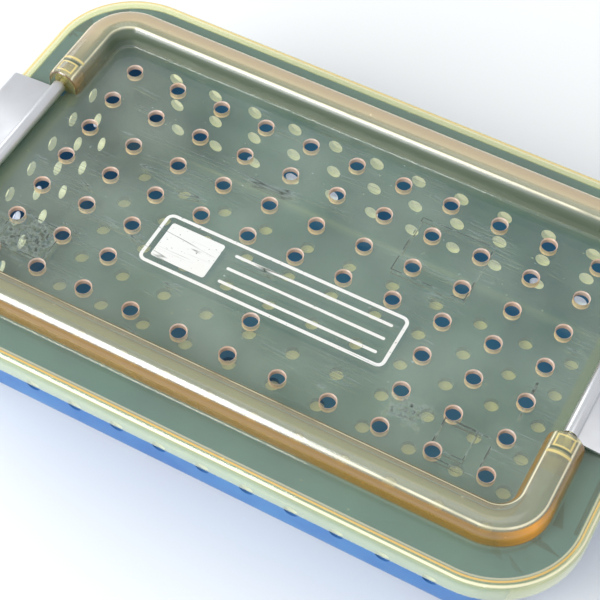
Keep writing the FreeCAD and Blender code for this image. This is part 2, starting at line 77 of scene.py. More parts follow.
COLUMNS, ROWS, WALL_ROWS = 11, 7, 3
PITCH_X, PITCH_Y = 19.05 * MM, 15.875 * MM
SIDE_PITCH, END_PITCH = 17.76 * MM, 14.3 * MM
WALL_ROW_PITCH, WALL_ROW_DROP = 14.1 * MM, 16.3 * MM
HOLE_RADIUS = 2.9 * MM
WALL_CUT = 8 * MM
NEAR_WALL = 4 * MM
BORE_TOLERANCE = 0.2 * MM
LID_HOLE_RADIUS = 2.72 * MM
LID_HOLE_BEVEL = 0.38 * MM
PLAIN_PLACES = {(c, 2) for c in range(3, 8)} | {(3, 1), (4, 1), (6, 1), (7, 1)}

# Rib, latches and pins

RIB_X, RIB_Y, RIB_CORNER = 113.4 * MM, 65 * MM, 12.95 * MM
RIB_HALF = 6.6 * MM
RIB_WALL = 2.2 * MM
RIB_TOP = LID_HIGH.z
RIB_END = 25.4 * MM
RIB_END_WALL = 2 * MM
RIB_END_ROUND = 2.2 * MM
RIB_FOOT = 0.9 * MM
RIB_STEPS = 20
END_STEPS = 5
FLARE_TURNS = (12, 40, 65, 90)
HOLLOW_MARGIN = 0.05 * MM
CELL_START = RIB_END + RIB_END_WALL
CELL_END = CELL_START + 6.6 * MM
WEB = 1.4 * MM
RELIEF_START = RIB_X + 12 * MM
RELIEF_GAP = 0.02 * MM
SLOT_PAST_WALL = 0.5 * MM
PIN_Z = LID_TOP + 4.2 * MM
PIN_RADIUS = 1.4 * MM
PIN_CLEARANCE = 0.08 * MM
PIN_CHAMFER = 0.35 * MM
PIN_STEPS = 48
BLOCK_EDGE = 0.35 * MM
PIN_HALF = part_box("hinge_pin_left")[1].y
STRIP = 1.1 * MM
LATCH_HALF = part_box("latch_left")[1].y
LATCH_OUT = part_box("latch_right")[1].x
LATCH_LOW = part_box("latch_right")[0].z
LATCH_REST = 0.3 * MM
LATCH_BEND = 1 * MM
LATCH_EDGE = 0.22 * MM
ROLL_START, ROLL_STEPS = -28, 40
HOOK_TIP = LIP_OUTLINE[0] - 1.2 * MM

# The field to write on: left, right, front and back, its frame, solid patch and ruled lines

FIELD = (-48 * MM, 48 * MM, -28 * MM, -5 * MM)
FIELD_LINE, FIELD_CORNER = 1.3 * MM, 3 * MM
PATCH_INSET, PATCH_END, PATCH_CORNER = 3.5 * MM, 25 * MM, 1 * MM
RULES, RULE_FIRST, RULE_PITCH = 3, 4.6 * MM, 6.1 * MM
RULE_START, RULE_INSET, RULE_WIDTH, RULE_CORNER = 30 * MM, 4.5 * MM, 1.2 * MM, 0.5 * MM
INK_LEVELS = (LID_TOP, LID_TOP + 0.04 * MM)
PRINT_STEPS = 5

# Camera, solved from the lid's regular holes. The picture is square

CAMERA_PLACE = (0.15553, -0.30279, 0.51189)
CAMERA_AIM = (0.010726, -0.016308, 0.0644)
CAMERA_ROLL = 1.898
CAMERA_LENS = 96.34
SENSOR = 36
CLIP_START = 0.01

# Lights: name, place, aim, size, power and colour

CENTRE = (0, 0, 0.06)
LIGHTS = (("overhead", (0.15, -0.2, 1.4), CENTRE, (1.2, 0.8), 2, (1, 0.99, 0.97)),
          ("front_strip", (-0.85, -1.13, 0.98), (-0.85, 0, 0.06), (1.2, 0.75), 23, (1, 1, 1)),
          ("left_window", (-1.1, 0.3, 0.7), CENTRE, (0.8, 0.7), 2.5, (0.95, 0.98, 1)))
SKY = (0.96, 0.975, 1.0, 1)
SKY_STRENGTH = 0.80
FLOOR_REACH = 6

# How finely round forms are divided, and how level a face is to be shaded flat

CORNER_STEPS = 14
RING_STEPS = 32
EDGE_STEPS = 8
FINE_STEPS = 4
LEVEL = 0.999


# Mesh helpers

def new_object(name, data):
    """Put a mesh, light or camera into the scene."""
    obj = bpy.data.objects.new(name, data)
    bpy.context.scene.collection.objects.link(obj)
    return obj


def grown(outline, amount):
    """An outline moved outwards all round."""
    return tuple(size + amount for size in outline)


def rounded_rectangle(outline, steps=CORNER_STEPS):
    """Points of a rectangle with round corners, anticlockwise from the right."""
    half_x, half_y, corner = outline
    points = []
    for number, (sx, sy) in enumerate(((1, 1), (-1, 1), (-1, -1), (1, -1))):
        centre_x, centre_y = sx * (half_x - corner), sy * (half_y - corner)
        for i in range(steps + 1):
            turn = (number + i / steps) * math.pi / 2
            points.append((centre_x + corner * math.cos(turn),
                           centre_y + corner * math.sin(turn)))
    return points


def arc(centre, radius, start, end, steps):
    """Points (u, v) along an arc between two angles in degrees."""
    turns = [math.radians(start + (end - start) * i / steps) for i in range(steps + 1)]
    return [(centre[0] + radius * math.cos(t), centre[1] + radius * math.sin(t))
            for t in turns]


def loft(name, rings, closed=False):
    """Skin a list of equal rings of points, capped at both ends unless closed."""
    bm = bmesh.new()
    loops = [[bm.verts.new(point) for point in ring] for ring in rings]
    pairs = list(zip(loops, loops[1:])) + ([(loops[-1], loops[0])] if closed else [])
    for lower, upper in pairs:
        for i in range(len(lower)):
            j = (i + 1) % len(lower)
            bm.faces.new((lower[i], lower[j], upper[j], upper[i]))
    if not closed:
        bm.faces.new(list(reversed(loops[0])))
        bm.faces.new(loops[-1])
    bmesh.ops.recalc_face_normals(bm, faces=bm.faces)
    mesh = bpy.data.meshes.new(name)
    bm.to_mesh(mesh)
    bm.free()
    return new_object(name, mesh)


def join(name, objects):
    """Put several meshes into one object, each as it is."""
    bm = bmesh.new()
    for obj in objects:
        bm.from_mesh(obj.data)
        bpy.data.objects.remove(obj)
    mesh = bpy.data.meshes.new(name)
    bm.to_mesh(mesh)
    bm.free()
    return new_object(name, mesh)


def combine(obj, other, operation):
    """Apply an exact boolean and remove the other object."""
    modifier = obj.modifiers.new("cut", "BOOLEAN")
    modifier.operation = operation
    modifier.solver = "EXACT"
    modifier.object = other
    apply_modifiers(obj)
    bpy.data.objects.remove(other)


def apply_modifiers(obj):
    """Give an object the mesh that its modifiers make."""
    bpy.context.view_layer.update()
    evaluated = obj.evaluated_get(bpy.context.evaluated_depsgraph_get())
    mesh = bpy.data.meshes.new_from_object(evaluated)
    obj.modifiers.clear()
    obj.data = mesh


def soften(obj, width):
    """Round the edges of a mesh that are sharper than 50 degrees."""
    modifier = obj.modifiers.new("edges", "BEVEL")
    modifier.width = width
    modifier.segments = 2
    modifier.angle_limit = math.radians(50)
    apply_modifiers(obj)


def smooth(obj, angle=35):
    """Shade smooth, with level faces and edges sharper than the angle kept."""
    bm = bmesh.new()
    bm.from_mesh(obj.data)
    for face in bm.faces:
        face.smooth = abs(face.normal.z) < LEVEL
    for edge in bm.edges:
        if len(edge.link_faces) == 2:
            edge.smooth = edge.calc_face_angle(0) < math.radians(angle)
    bm.to_mesh(obj.data)
    bm.free()


def rod(name, radius, low, high, place, axis="Z", bevel=0.0, steps=RING_STEPS):
    """A round rod along an axis, flared at both ends by a bevel if it is negative."""
    sections = [(radius - bevel, low), (radius, low + abs(bevel)),
                (radius, high - abs(bevel)), (radius - bevel, high)]
    if not bevel:
        sections = [(radius, low), (radius, high)]
    rings = []
    for size, height in sections:
        ring = []
        for i in range(steps):
            turn = 2 * math.pi * (i + 0.5) / steps
            u, v = size * math.cos(turn), size * math.sin(turn)
            ring.append({"X": (height, u, v), "Y": (v, height, u), "Z": (u, v, height)}[axis])
        rings.append([Vector(point) + Vector(place) for point in ring])
    return loft(name, rings)


def rings_along(outline, section):
    """Level rings round an outline, one for each point (outwards, height) of a section."""
    return [[(x, y, height) for x, y in rounded_rectangle(grown(outline, amount))]
            for amount, height in section]


def grid_places(columns, rows, pitch_x, pitch_y):
    """Places (x, y, column, row) of a grid round the origin."""
    return [((c - (columns - 1) / 2) * pitch_x, (r - (rows - 1) / 2) * pitch_y, c, r)
            for r in range(rows) for c in range(columns)]


# Shader helpers

class Shader:
    """A material's node tree, built by short calls."""

    def __init__(self, name):
        self.material = bpy.data.materials.new(name)
        self.material.use_nodes = True
        self.tree = self.material.node_tree
        self.tree.nodes.clear()
        self.output = self.tree.nodes.new("ShaderNodeOutputMaterial")

    def node(self, kind, inputs=None, **settings):
        node = self.tree.nodes.new(f"ShaderNode{kind}")
        for key, setting in settings.items():
            setattr(node, key, setting)
        for key, given in (inputs or {}).items():
            socket = node.inputs[key]
            if isinstance(given, bpy.types.NodeSocket):
                self.tree.links.new(given, socket)
            else:
                socket.default_value = given
        return node

    def math(self, operation, *values, clamp=False):
        inputs = {i: given for i, given in enumerate(values)}
        return self.node("Math", inputs, operation=operation, use_clamp=clamp).outputs[0]

    def mix(self, factor, first, second):
        node = self.node("Mix", data_type="RGBA")
        for key, given in ((0, factor), (6, first), (7, second)):
            if isinstance(given, bpy.types.NodeSocket):
                self.tree.links.new(given, node.inputs[key])
            else:
                node.inputs[key].default_value = given
        return node.outputs[2]

    def place(self, scale=(1, 1, 1), turn=(0, 0, 0), move=(0, 0, 0)):
        coordinates = self.node("TexCoord").outputs["Object"]
        return self.node("Mapping", {"Vector": coordinates, "Scale": scale,
                                     "Rotation": turn, "Location": move}).outputs[0]

    def xyz(self):
        """The coordinates of a point on the object."""
        return self.node("SeparateXYZ", {"Vector": self.place()}).outputs

    def noise(self, scale, detail, place=None):
        return self.node("TexNoise", {"Vector": place or self.place(), "Scale": scale,
                                      "Detail": detail, "Roughness": 0.5}).outputs[0]

    def ramp(self, factor, low, high, low_value=0.0, high_value=1.0):
        return self.node("MapRange", {"Value": factor, "From Min": low, "From Max": high,
                                      "To Min": low_value, "To Max": high_value}).outputs[0]

    def patches(self, scale, detail, low, high, low_value=0.0, high_value=1.0):
        """Soft patches: noise between two levels, spread between two values."""
        return self.ramp(self.noise(scale, detail), low, high, low_value, high_value)

    def band(self, number, middle, half, soft):
        """One where a number lies near a middle value, falling off softly."""
        away = self.math("ABSOLUTE", self.math("SUBTRACT", number, middle))
        return self.ramp(away, half, half + soft, 1, 0)

    def bump(self, height, strength, distance):
        return self.node("Bump", {"Height": height, "Strength": strength,
                                  "Distance": distance}).outputs[0]

    def finish(self, surface):
        self.tree.links.new(surface.outputs[0], self.output.inputs["Surface"])
        return self.material


# Colours

TUB_BLUE = (0.037, 0.156, 0.435, 1)
TUB_BLUE_WORN = (0.060, 0.220, 0.500, 1)
# Painted light: the bores' pale colours stand for daylight shining through the thin walls.
TUB_BORE_LIT = (0.88, 0.92, 1.0, 1)
TUB_BORE_LIT_DULL = (0.74, 0.82, 0.98, 1)
LID_CLEAR = (0.97, 0.96, 0.72, 1)
LID_DEEP = (0.62, 0.40, 0.10, 1)
LID_HAZE = (0.62, 0.71, 0.50, 1)
LID_KHAKI = (0.55, 0.55, 0.35, 1)
LID_SCUFF = (0.50, 0.61, 0.60, 1)
# Painted light: the tan of the back rib's outer slope, as if lit through from behind.
LID_TAN_LIT = (0.98, 0.78, 0.50, 1)
LID_SKIRT = (0.80, 0.88, 0.68, 1)
LID_GOLD = (0.92, 0.54, 0.14, 1)
LID_BROWN = (0.48, 0.25, 0.03, 1)
# Painted shade on the back rib's inner side and at the cells' ends.
LID_SHADE = (0.09, 0.12, 0.08, 1)
# Painted highlight: yellow lines on the web and round the block in each cell.
LID_YELLOW_HIGHLIGHT = (1.0, 0.80, 0.30, 1)
LID_RIM = (0.14, 0.07, 0.03, 1)
# Painted highlight: pale yellow lines on the rib and round the lid's edge.
LID_CREAM_HIGHLIGHT = (1.0, 0.93, 0.66, 1)
# Painted light: orange light focused at the rib's outer corner.
LID_FOCUSED_LIGHT = (1.0, 0.42, 0.04, 1)
LID_STAIN = (0.05, 0.06, 0.05, 1)
LID_CUT = (0.80, 0.56, 0.44, 1)
LID_CUT_PALE = (0.80, 0.66, 0.58, 1)
STEEL = (0.72, 0.73, 0.75, 1)
STEEL_MARKED = (0.62, 0.62, 0.63, 1)
INK = (0.74, 0.73, 0.69, 1)
INK_GREY = (0.74, 0.76, 0.74, 1)
FLOOR = (0.83, 0.845, 0.84, 1)
FLOOR_PALE = (0.85, 0.865, 0.86, 1)
WHITE = (1, 1, 1, 1)

# Bands across the rib, outwards from its middle line: middle, half width and softness. The
# shade band is painted shade, the pale yellow band a painted highlight; the tan start marks
# painted light

SHADE_BAND = (-5.7 * MM, 0.8 * MM, 0.7 * MM)
CREAM_HIGHLIGHT_BAND = (4.15 * MM, 0.15 * MM, 0.4 * MM)
LIT_TAN_START = (-3.6 * MM, -1.6 * MM)
GOLD_START = (4.5 * MM, 5.1 * MM)
WALLS_START = (4.1 * MM, 4.5 * MM)
BACK_START = (20 * MM, 50 * MM)

# Bands along the rib's ends, and the outline of the block in its cell. The band before each web
# is painted shade; the band on the web and the block's outline are painted highlights

RIM_BAND = (RIB_END + 0.3 * MM, 0.35 * MM, 0.4 * MM)
GAP_SHADE_BAND = (CELL_END - 0.9 * MM, 0.35 * MM, 0.4 * MM)
WEB_HIGHLIGHT_BAND = (CELL_END + WEB / 2, 0.4 * MM, 0.4 * MM)
BLOCK_HIGHLIGHT_OUTLINE = (0.0, 0.2 * MM, 0.35 * MM)
BLOCK_HALF_ACROSS, BLOCK_HALF_ALONG = 2.9 * MM, 2.2 * MM
BLOCK_MIDDLE = CELL_START + 2.6 * MM

# Lines round the lid, as places in from its edge, with their shares of haze and colours: two
# painted highlights about a line of deep amber

EDGE_AMBER_AND_HIGHLIGHT_LINES = ((3.1 * MM, 0.4, LID_CREAM_HIGHLIGHT), (2.2 * MM, 0.6, LID_GOLD), (0.9 * MM, 0.7, LID_CREAM_HIGHLIGHT))

# Painted light and wear: where painted light, focused at the outer corner, lies, and outlines
# and patches as centres and half sizes

FOCUSED_LIGHT_PLACE, FOCUSED_LIGHT_RADIUS = (0.1165, -0.0605), 13 * MM
OLD_OUTLINES = (((0.0835, -0.0425), (0.0087, 0.0077)), ((0.0805, -0.0405), (0.0058, 0.0061)),
                ((0.0957, -0.0152), (0.0002, 0.0075)), ((0.046, 0.024), (0.014, 0.013)),
                ((-0.086, -0.038), (0.010, 0.0075)))
OUTLINE_WIDTH = 0.34 * MM
DIRTY_PATCHES = (((-0.086, -0.038), (0.009, 0.007)), ((0.062, -0.038), (0.006, 0.004)))
PATCH_SOFTNESS = 2 * MM

# Scratches: direction, scale and width

SCRATCHES = ((0.35, 95, 0.0075), (1.25, 120, 0.006), (2.45, 80, 0.006))


# Masks, each one on its own part of an object and nought elsewhere

def box_reach(s, centre, half):
    """How far a point lies outside an upright rectangle, less than nought inside it."""
    reach = []
    for axis, middle, size in zip(s.xyz(), centre, half):
        away = s.math("ABSOLUTE", s.math("SUBTRACT", axis, middle))
        reach.append(s.math("SUBTRACT", away, size))
    return s.math("MAXIMUM", *reach)


def outline_reach(s, outline):
    """How far a point lies outside an outline with round corners."""
    over = [s.math("SUBTRACT", s.math("ABSOLUTE", axis), half - outline[2])
            for axis, half in zip(s.xyz(), outline[:2])]
    beyond = [s.math("MAXIMUM", one, 0.0) for one in over]
    squares = [s.math("MULTIPLY", one, one) for one in beyond]
    reach = s.math("SQRT", s.math("ADD", *squares))
    within = s.math("MINIMUM", s.math("MAXIMUM", *over), 0.0)
    return s.math("SUBTRACT", s.math("ADD", reach, within), outline[2])


def scratches(s):
    """Fine hairline scratches: thin bands of stretched noise in a few directions."""
    total = None
    for turn, scale, width in SCRATCHES:
        streak = s.noise(1, 2, s.place((scale * 0.05, scale, 1), (0, 0, turn)))
        line = s.ramp(s.math("ABSOLUTE", s.math("SUBTRACT", streak, 0.5)), 0, width, 1, 0)
        where = s.ramp(s.noise(26, 2, s.place(move=(turn, turn, 0))), 0.56, 0.64)
        line = s.math("MULTIPLY", line, where)
        total = line if total is None else s.math("MAXIMUM", total, line)
    return total


def outline_mask(s, centre, half):
    """A thin, broken outline on the lid, like the edge that an old label leaves."""
    edge = s.math("ABSOLUTE", box_reach(s, centre, half))
    mask = s.ramp(edge, OUTLINE_WIDTH * 0.4, OUTLINE_WIDTH, 1, 0)
    return s.math("MULTIPLY", mask, s.patches(190, 3, 0.38, 0.52))


def blotch_mask(s, centre, half):
    """A soft-edged dirty patch."""
    inside = s.ramp(box_reach(s, centre, half), -PATCH_SOFTNESS, PATCH_SOFTNESS, 1, 0)
    return s.math("MULTIPLY", inside, s.patches(420, 4, 0.45, 0.62))


def spot_mask(s, centre, radius):
    """A soft round spot."""
    squares = []
    for axis, middle in zip(s.xyz(), centre):
        away = s.math("SUBTRACT", axis, middle)
        squares.append(s.math("MULTIPLY", away, away))
    return s.ramp(s.math("SQRT", s.math("ADD", *squares)), 0, radius, 1, 0)


def panel_mask(s):
    """The flat panel inside the rib, which is handled and scuffed the most."""
    reach = box_reach(s, (0.0, 0.0), (RIB_X - RIB_HALF, RIB_Y - RIB_HALF))
    return s.ramp(reach, -0.5 * MM, 0.5 * MM, 1, 0)


def edge_masks(s):
    """Three thin lines round the lid, over the fillet inside its skirt and along its edge: a
    line of deep amber between two painted highlights.
    """
    reach = outline_reach(s, LID_OUTLINE)
    top = s.ramp(s.xyz()[2], LID_TOP - 3 * MM, LID_TOP - 1.5 * MM)
    return [s.math("MULTIPLY", top, s.band(reach, -inside, 0.2 * MM, 0.4 * MM))
            for inside, _, _ in EDGE_AMBER_AND_HIGHLIGHT_LINES]


def rib_masks(s):
    """The rib, then masks on it: a tan back that is painted light, gold walls, painted shade on
    the inner side and in the gaps, painted highlights where the hollow begins and on the lines
    of the cells, and the brown rim of the ends."""
    _, y, z = s.xyz()
    rib = s.ramp(z, LID_TOP + 0.2 * MM, LID_TOP + 1.2 * MM)
    out = outline_reach(s, (RIB_X, RIB_Y, RIB_CORNER))
    aside = s.math("ABSOLUTE", out)
    back = s.ramp(y, *BACK_START)
    # Painted light: the back rib's outer slope turns tan, as if lit through from behind.
    tan = s.math("MULTIPLY", s.ramp(out, *LIT_TAN_START), back)
    shade = s.math("MULTIPLY", s.band(out, *SHADE_BAND), back)
    gold = s.math("MULTIPLY", s.ramp(aside, *GOLD_START), s.math("SUBTRACT", 1.0, shade))
    # Painted highlight: a pale yellow line where the hollow begins.
    cream_highlight = s.math("MULTIPLY", s.band(aside, *CREAM_HIGHLIGHT_BAND), s.patches(60, 3, 0.3, 0.5, 0.6, 1.0))

    along = s.math("ABSOLUTE", y)
    between = s.ramp(aside, *WALLS_START, 1, 0)
    # Painted highlights: yellow lines on the web and round the block.
    web = s.math("MULTIPLY", between, s.band(along, *WEB_HIGHLIGHT_BAND))
    # Painted shade: a line at the cell's end, before the web.
    gap_shade = s.math("MULTIPLY", between, s.band(along, *GAP_SHADE_BAND))
    off_middle = s.math("ABSOLUTE", s.math("SUBTRACT", along, BLOCK_MIDDLE))
    block = s.math("MAXIMUM", s.math("SUBTRACT", aside, BLOCK_HALF_ACROSS),
                   s.math("SUBTRACT", off_middle, BLOCK_HALF_ALONG))
    cell_highlights = s.math("MAXIMUM", web, s.band(block, *BLOCK_HIGHLIGHT_OUTLINE))
    # Painted shade, at the cells' ends and on the back rib's inner side.
    painted_shade = s.math("MAXIMUM", gap_shade, shade)
    rim = s.band(along, *RIM_BAND)
    return [rib] + [s.math("MULTIPLY", rib, mask)
                    for mask in (tan, gold, painted_shade, cream_highlight, cell_highlights, rim)]


class Haze:
    """How milky a clear plastic is, and in what colour, laid on mask by mask; some masks lay
    painted light, painted shade and painted highlights through it.
    """

    def __init__(self, s, share, colour):
        self.s, self.share, self.colour = s, share, colour

    def tint(self, mask, colour):
        self.colour = self.s.mix(mask, self.colour, colour)

    def cover(self, mask, share, colour):
        """Raise the share to a value where the mask is one."""
        self.share = self.s.math("MAXIMUM", self.share, self.s.math("MULTIPLY", mask, share))
        self.tint(mask, colour)

    def add(self, mask, share, clamp=False):
        more = self.s.math("MULTIPLY", mask, share)
        self.share = self.s.math("ADD", self.share, more, clamp=clamp)


# Materials

def tub_material():
    """Moulded blue plastic with a faint grain and slightly worn high spots."""
    s = Shader("tub_blue_plastic")
    return s.finish(s.node("BsdfPrincipled", {
        "Base Color": s.mix(s.patches(38, 4, 0.35, 0.7), TUB_BLUE, TUB_BLUE_WORN),
        "Roughness": s.patches(90, 3, 0.3, 0.7, 0.30, 0.42), "Specular IOR Level": 0.5,
        "Normal": s.bump(s.noise(1400, 2), 0.12, 0.00015)}))


def lit_bore_material():
    """The bores in the tub's walls, with painted light: a pale colour stands for daylight
    shining through the thin edge, less of it in front, where the light comes from the viewer's
    side."""
    s = Shader("tub_hole_walls_painted_light")
    x, y, z = s.xyz()
    lean = s.math("MULTIPLY", s.math("SUBTRACT", FLANGE_TOP, z), math.tan(TUB_DRAFT))
    depths = []
    for along, half in ((x, TUB_OUTLINE[0]), (y, TUB_OUTLINE[1])):
        wall = s.math("SUBTRACT", half + PLATE / 2, lean)
        depths.append(s.math("SUBTRACT", s.math("ABSOLUTE", along), wall))
    front = s.ramp(y, -40 * MM, 0, 1.0 * MM, -0.6 * MM)
    outer = s.ramp(s.math("ADD", s.math("MAXIMUM", *depths), front), 0.7 * MM, 1.1 * MM)
    # Painted light in the bores, in two tones.
    pale = s.mix(s.patches(300, 3, 0.3, 0.7), TUB_BORE_LIT, TUB_BORE_LIT_DULL)
    return s.finish(s.node("BsdfPrincipled", {
        "Base Color": s.mix(outer, pale, TUB_BLUE), "Roughness": 0.35}))


def add_wear_and_painted_light(s, haze, panel, gold):
    """The lid's painted highlights along its edge and the painted light focused at its outer
    corner, then its real wear: scratches, old outlines, dirt and specks."""
    for mask, (_, share, colour) in zip(edge_masks(s), EDGE_AMBER_AND_HIGHLIGHT_LINES):
        haze.cover(mask, share, colour)
    # Painted light: orange where light would focus at the rib's outer corner.
    focused_light = s.math("MULTIPLY", gold, spot_mask(s, FOCUSED_LIGHT_PLACE, FOCUSED_LIGHT_RADIUS))
    haze.add(focused_light, 0.4)
    haze.tint(focused_light, LID_FOCUSED_LIGHT)
    dirt = s.math("MULTIPLY", scratches(s), panel)
    for centre, half in OLD_OUTLINES:
        dirt = s.math("MAXIMUM", dirt, outline_mask(s, centre, half))
    for centre, half in DIRTY_PATCHES:
        dirt = s.math("MAXIMUM", dirt, blotch_mask(s, centre, half))
    haze.tint(dirt, LID_STAIN)
    haze.add(dirt, 0.7, clamp=True)
    haze.add(s.patches(620, 2, 0.73, 0.76), 0.35, clamp=True)


def lid_material(name="lid_amber_plastic", worn=True):
    """Clear amber plastic: a tinted film under gloss and haze, with the rib's bands of painted
    light, painted shade and painted highlights on it.
    """
    s = Shader(name)
    facing = s.node("LayerWeight", {"Blend": 0.5}).outputs["Facing"]
    rib, tan, gold, painted_shade, cream_highlight, cell_highlights, rim = rib_masks(s)
    tint = s.mix(s.math("MAXIMUM", gold, rim), LID_CLEAR, LID_DEEP)
    film = s.node("BsdfTransparent", {"Color": tint})
    gloss_share = s.math("ADD", s.math("MULTIPLY", s.math("POWER", facing, 4), 0.8),
                         s.ramp(rib, 0, 1, 0.045, 0.15))
    rough = s.math("ADD", s.patches(70, 4, 0.3, 0.75, 0.03, 0.06),
                   s.math("MULTIPLY", rib, 0.14))
    gloss = s.node("BsdfGlossy", {"Color": WHITE, "Roughness": rough})
    clear = s.node("MixShader", {0: gloss_share, 1: film.outputs[0], 2: gloss.outputs[0]})

    haze = Haze(s, s.math("ADD", s.patches(14, 5, 0.3, 0.75, 0.13, 0.18),
                          s.math("MULTIPLY", rib, 0.06)), s.mix(rib, LID_HAZE, LID_KHAKI))
    if worn:
        panel = panel_mask(s)
        haze.add(panel, s.patches(30, 5, 0.3, 0.7, -0.08, 0.04))
        haze.tint(panel, LID_SCUFF)
    skirt = s.ramp(s.xyz()[2], LID_TOP - 4 * MM, LID_TOP - PLATE, 1, 0)
    # Tan is painted light, the shade lines painted shade, and both sets of yellow lines painted
    # highlights.
    for mask, share, colour in ((skirt, 0.28, LID_SKIRT), (tan, 0.38, LID_TAN_LIT),
                                (gold, 0.42, LID_BROWN), (painted_shade, 0.88, LID_SHADE),
                                (cream_highlight, 0.70, LID_CREAM_HIGHLIGHT),
                                (cell_highlights, 0.60 if worn else 0.2, LID_YELLOW_HIGHLIGHT),
                                (rim, 0.60, LID_RIM)):
        haze.cover(mask, share, colour)
    if worn:
        add_wear_and_painted_light(s, haze, panel, gold)
    milky = s.node("BsdfPrincipled", {"Base Color": haze.colour, "Roughness": 0.25})
    return s.finish(s.node("MixShader", {0: haze.share, 1: clear.outputs[0],
                                         2: milky.outputs[0]}))


def inner_material():
    """The insides of the hollow rib: a tinted film, deeper where the view grazes it."""
    s = Shader("lid_hollow_film")
    facing = s.node("LayerWeight", {"Blend": 0.5}).outputs["Facing"]
    tint = s.mix(s.ramp(facing, 0.35, 0.9), LID_CLEAR, LID_DEEP)
    film = s.node("BsdfTransparent", {"Color": tint})
    shine = s.node("BsdfPrincipled", {"Base Color": LID_KHAKI, "Roughness": 0.12})
    share = s.patches(50, 3, 0.3, 0.7, 0.12, 0.20)
    return s.finish(s.node("MixShader", {0: share, 1: film.outputs[0], 2: shine.outputs[0]}))


def cut_material():
    """The pierced walls of the lid's holes, where the sawn plastic looks pale and warm."""
    s = Shader("lid_hole_walls")
    film = s.node("BsdfTransparent", {"Color": LID_DEEP})
    colour = s.mix(s.patches(260, 3, 0.35, 0.7), LID_CUT, LID_CUT_PALE)
    wall = s.node("BsdfPrincipled", {"Base Color": colour, "Roughness": 0.3})
    share = s.patches(330, 2, 0.3, 0.7, 0.6, 0.8)
    return s.finish(s.node("MixShader", {0: share, 1: film.outputs[0], 2: wall.outputs[0]}))


def steel_material(name, rough, axis_scale):
    """Satin steel with fine lines along the strip and faint handling marks."""
    s = Shader(name)
    lines = s.noise(1, 3, s.place(axis_scale))
    marks = s.noise(60, 4)
    roughness = s.math("ADD", s.ramp(lines, 0.3, 0.7, rough - 0.06, rough + 0.06),
                       s.ramp(marks, 0.4, 0.8, 0, 0.08))
    return s.finish(s.node("BsdfPrincipled", {
        "Base Color": s.mix(s.ramp(marks, 0.45, 0.75), STEEL, STEEL_MARKED),
        "Metallic": 1.0, "Roughness": roughness,
        "Normal": s.bump(lines, 0.08, 0.00005)}))


def ink_material():
    """White printing ink, worn through in specks and scratches."""
    s = Shader("white_ink")
    worn = s.math("MAXIMUM", scratches(s), s.patches(900, 3, 0.66, 0.72))
    colour = s.mix(s.patches(45, 3, 0.4, 0.8), INK, INK_GREY)
    ink = s.node("BsdfPrincipled", {"Base Color": colour, "Roughness": 0.45})
    bare = s.node("BsdfTransparent", {"Color": WHITE})
    return s.finish(s.node("MixShader", {0: worn, 1: ink.outputs[0], 2: bare.outputs[0]}))


def floor_material():
    """A plain pale floor with the faintest clouds."""
    s = Shader("pale_floor")
    tone = s.mix(s.patches(3, 2, 0.3, 0.7), FLOOR, FLOOR_PALE)
    return s.finish(s.node("BsdfPrincipled", {"Base Color": tone, "Roughness": 0.6}))


# Tub

def tub_wall_offset(height):
    """How far out the tub's wall stands at a height, less than nought below the flange."""
    return -(FLANGE_TOP - height) * math.tan(TUB_DRAFT)


def tub_rings():
    """Rings from the middle of the underside, out, up and back down to the floor."""
    flange = FLANGE_TOP - PLATE
    radius = HEEL + PLATE
    foot = tub_wall_offset(radius)
    wall = arc((foot - radius, radius), radius, -90, -3, EDGE_STEPS)
    wall.append((tub_wall_offset(flange), flange))
    lip = [(-PLATE, flange), (-PLATE, LIP_BOTTOM), (-LIP_BEVEL_IN, LIP_BOTTOM),
           (0, LIP_BOTTOM + LIP_BEVEL_UP)]
    lip += arc((-2 * TUB_EDGE, FLANGE_TOP - 2 * TUB_EDGE), 2 * TUB_EDGE, 0, 90, FINE_STEPS)
    inside = arc((TUB_EDGE, FLANGE_TOP - TUB_EDGE), TUB_EDGE, 90, 180, FINE_STEPS)
    foot = tub_wall_offset(PLATE + HEEL)
    inside += arc((foot - HEEL, PLATE + HEEL), HEEL, -3, -90, EDGE_STEPS)
    return (rings_along(grown(TUB_OUTLINE, PLATE), wall) + rings_along(LIP_OUTLINE, lip)
            + rings_along(TUB_OUTLINE, inside))


def wall_places():
    """Places of the holes in the walls, each with the axis of its bore."""
    for row in range(WALL_ROWS):
        z = FLANGE_TOP - WALL_ROW_DROP - row * WALL_ROW_PITCH
        for x, _, _, _ in grid_places(COLUMNS, 1, SIDE_PITCH, 0):
            for side in (-1, 1):
                yield (x, side * TUB_OUTLINE[1], z), "Y"
        for y, _, _, _ in grid_places(ROWS, 1, END_PITCH, 0):
            for side in (-1, 1):
                yield (side * TUB_OUTLINE[0], y, z), "X"


def by_long_wall(y):
    """Tell whether a point lies by the front or the back wall."""
    return abs(y) > TUB_OUTLINE[1] - NEAR_WALL


def in_wall_hole(x, y, z):
    """Tell whether a point lies on the bore of one of the walls' holes."""
    row = (FLANGE_TOP - WALL_ROW_DROP - z) / WALL_ROW_PITCH
    up = (row - round(row)) * WALL_ROW_PITCH
    place, pitch = (x, SIDE_PITCH) if by_long_wall(y) else (y, END_PITCH)
    along = place / pitch
    away = (along - round(along)) * pitch
    return abs(math.hypot(up, away) - HOLE_RADIUS) < BORE_TOLERANCE


